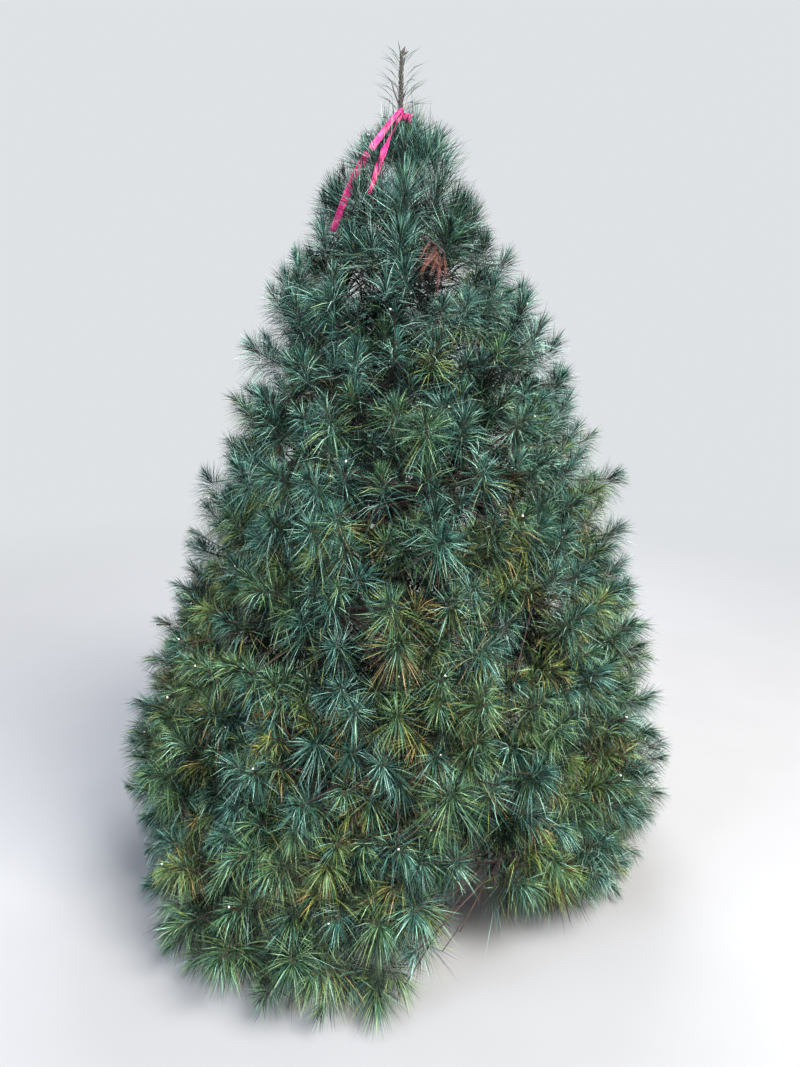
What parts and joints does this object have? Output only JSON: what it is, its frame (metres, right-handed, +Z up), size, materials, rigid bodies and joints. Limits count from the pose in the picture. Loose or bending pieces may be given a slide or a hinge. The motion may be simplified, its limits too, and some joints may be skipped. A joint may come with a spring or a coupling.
{
  "type": "pine tree",
  "caption": "Young pine sheared into a dense rounded cone, with tufts of long blue-green needles and a bare leader.",
  "frame": {"origin": "middle of the flat cut under the trunk, at ground level", "axes": "+Z up along the trunk, -Y towards the side seen in the picture, +X to that view's right"},
  "size_m": [1.7217, 1.791, 2.4],
  "materials": {
    "bark": "rough grey-brown bark",
    "needles": "satin blue-green needles"
  },
  "bodies": {
    "root": {"trunk": "bark", "bough_skirt_1": "bark", "bough_skirt_2": "bark", "bough_skirt_3": "bark", "bough_skirt_4": "bark", "bough_skirt_5": "bark", "bough_skirt_6": "bark", "bough_lower_1": "bark", "bough_lower_2": "bark", "bough_lower_3": "bark", "bough_lower_4": "bark", "bough_lower_5": "bark", "bough_lower_6": "bark", "bough_middle_1": "bark", "bough_middle_2": "bark", "bough_middle_3": "bark", "bough_middle_4": "bark", "bough_middle_5": "bark", "bough_upper_1": "bark", "bough_upper_2": "bark", "bough_upper_3": "bark", "bough_upper_4": "bark", "bough_upper_5": "bark", "bough_shoulder_1": "bark", "bough_shoulder_2": "bark", "bough_shoulder_3": "bark", "bough_shoulder_4": "bark", "foliage_skirt_1": "needles", "foliage_skirt_2": "needles", "foliage_skirt_3": "needles", "foliage_skirt_4": "needles", "foliage_skirt_5": "needles", "foliage_skirt_6": "needles", "foliage_lower_1": "needles", "foliage_lower_2": "needles", "foliage_lower_3": "needles", "foliage_lower_4": "needles", "foliage_lower_5": "needles", "foliage_lower_6": "needles", "foliage_middle_1": "needles", "foliage_middle_2": "needles", "foliage_middle_3": "needles", "foliage_middle_4": "needles", "foliage_middle_5": "needles", "foliage_upper_1": "needles", "foliage_upper_2": "needles", "foliage_upper_3": "needles", "foliage_upper_4": "needles", "foliage_upper_5": "needles", "foliage_shoulder_1": "needles", "foliage_shoulder_2": "needles", "foliage_shoulder_3": "needles", "foliage_shoulder_4": "needles", "foliage_summit_1": "needles", "foliage_summit_2": "needles", "foliage_summit_3": "needles", "foliage_leader": "needles"}
  },
  "joints": []
}
